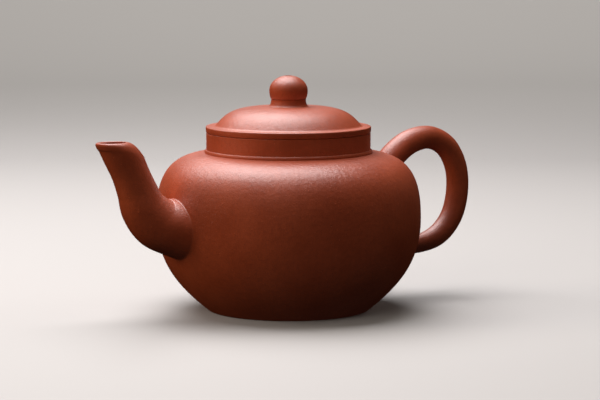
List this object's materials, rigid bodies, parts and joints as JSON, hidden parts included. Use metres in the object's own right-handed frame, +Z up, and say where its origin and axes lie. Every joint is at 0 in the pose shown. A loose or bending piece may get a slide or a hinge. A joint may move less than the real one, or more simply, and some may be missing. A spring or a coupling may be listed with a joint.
{
  "type": "yixing clay teapot",
  "caption": "Small round-bellied unglazed red clay teapot with a lift-off domed lid, ball knob, upswept spout and ear-shaped loop handle.",
  "frame": {"origin": "on the table under the middle of the pot, on its vertical axis", "axes": "+Z up along the pot's axis; the spout points along -X and the handle along +X"},
  "size_m": [0.1474, 0.09, 0.0795],
  "materials": {
    "red_clay": "fired unglazed red clay, fine grain, burnished to a satin sheen"
  },
  "bodies": {
    "pot": {"base_disc": "red_clay", "body_wall": "red_clay", "shoulder_disc": "red_clay", "neck_ring": "red_clay", "neck_bead": "red_clay", "spout": "red_clay", "spout_strainer": "red_clay", "handle": "red_clay", "spout_slip": "red_clay", "handle_upper_slip": "red_clay", "handle_lower_slip": "red_clay"},
    "lid_seat_ring": {"lid_flange": "red_clay"},
    "lid": {"lid_rim": "red_clay", "lid_dome": "red_clay", "knob_collar": "red_clay", "knob": "red_clay"}
  },
  "joints": [
    {"name": "lid_lift", "type": "slide", "parent": "pot", "child": "lid_seat_ring", "axis": [0, 0, 1], "range_m": [0, 0.06]},
    {"name": "lid_turn", "type": "hinge", "parent": "lid_seat_ring", "child": "lid", "pos_m": [0, 0, 0.0603], "axis": [0, 0, 1], "continuous": true}
  ]
}
